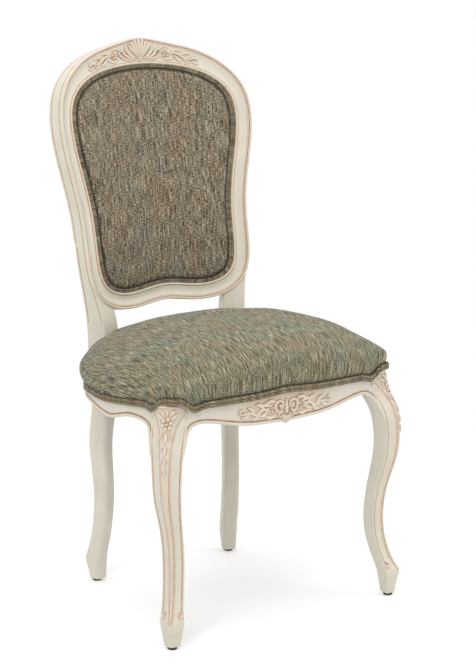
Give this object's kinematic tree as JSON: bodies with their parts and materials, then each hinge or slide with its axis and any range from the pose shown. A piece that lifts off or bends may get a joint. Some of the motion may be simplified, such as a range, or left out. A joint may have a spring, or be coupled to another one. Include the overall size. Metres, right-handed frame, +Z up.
{
  "type": "upholstered side chair",
  "caption": "Armless side chair with a carved, painted cabriole-leg frame, a cartouche back with a set-in upholstered panel, and a tight crowned seat edged with welting.",
  "frame": {"origin": "middle of the chair's footprint box, on the floor", "axes": "+Z up, -Y towards the front of the chair (the way a sitter faces), +X to the sitter's left, which is the right side of the chair seen from the front"},
  "size_m": [0.501, 0.4814, 0.9542],
  "materials": {
    "painted_wood": "satin antique ivory paint with a brown glaze in the carving and grooves",
    "bare_wood": "bare beech",
    "panel_board": "bent board",
    "tweed": "slubbed tweed in grey, green and brown with pale flecks",
    "jute": "woven jute webbing",
    "hessian": "plain woven hessian",
    "foam": "open-cell upholstery foam",
    "black_cloth": "black non-woven cloth",
    "black_nylon": "black nylon",
    "steel": "zinc plated steel"
  },
  "bodies": {
    "root": {"rear_post_left": "painted_wood", "rear_post_right": "painted_wood", "crest_rail": "painted_wood", "lower_back_rail": "painted_wood", "front_leg_left": "painted_wood", "front_leg_right": "painted_wood", "front_seat_rail": "painted_wood", "side_seat_rail_left": "painted_wood", "side_seat_rail_right": "painted_wood", "rear_seat_rail": "painted_wood", "corner_block_front_left": "bare_wood", "corner_block_front_right": "bare_wood", "corner_block_rear_left": "bare_wood", "corner_block_rear_right": "bare_wood", "seat_frame_dowels": "bare_wood", "back_frame_dowels": "bare_wood", "corner_block_screws": "steel", "glide_nails": "steel", "seat_webbing_lengthwise": "jute", "seat_webbing_crosswise": "jute", "seat_hessian": "hessian", "seat_foam": "foam", "back_foam": "foam", "seat_cover": "tweed", "seat_welt": "tweed", "inside_back_cover": "tweed", "inside_back_welt": "tweed", "outside_back_cover": "tweed", "outside_back_welt": "tweed", "dust_cover": "black_cloth", "back_panel": "panel_board", "foot_glide_front_left": "black_nylon", "foot_glide_front_right": "black_nylon", "foot_glide_rear_left": "black_nylon", "foot_glide_rear_right": "black_nylon"}
  },
  "joints": []
}
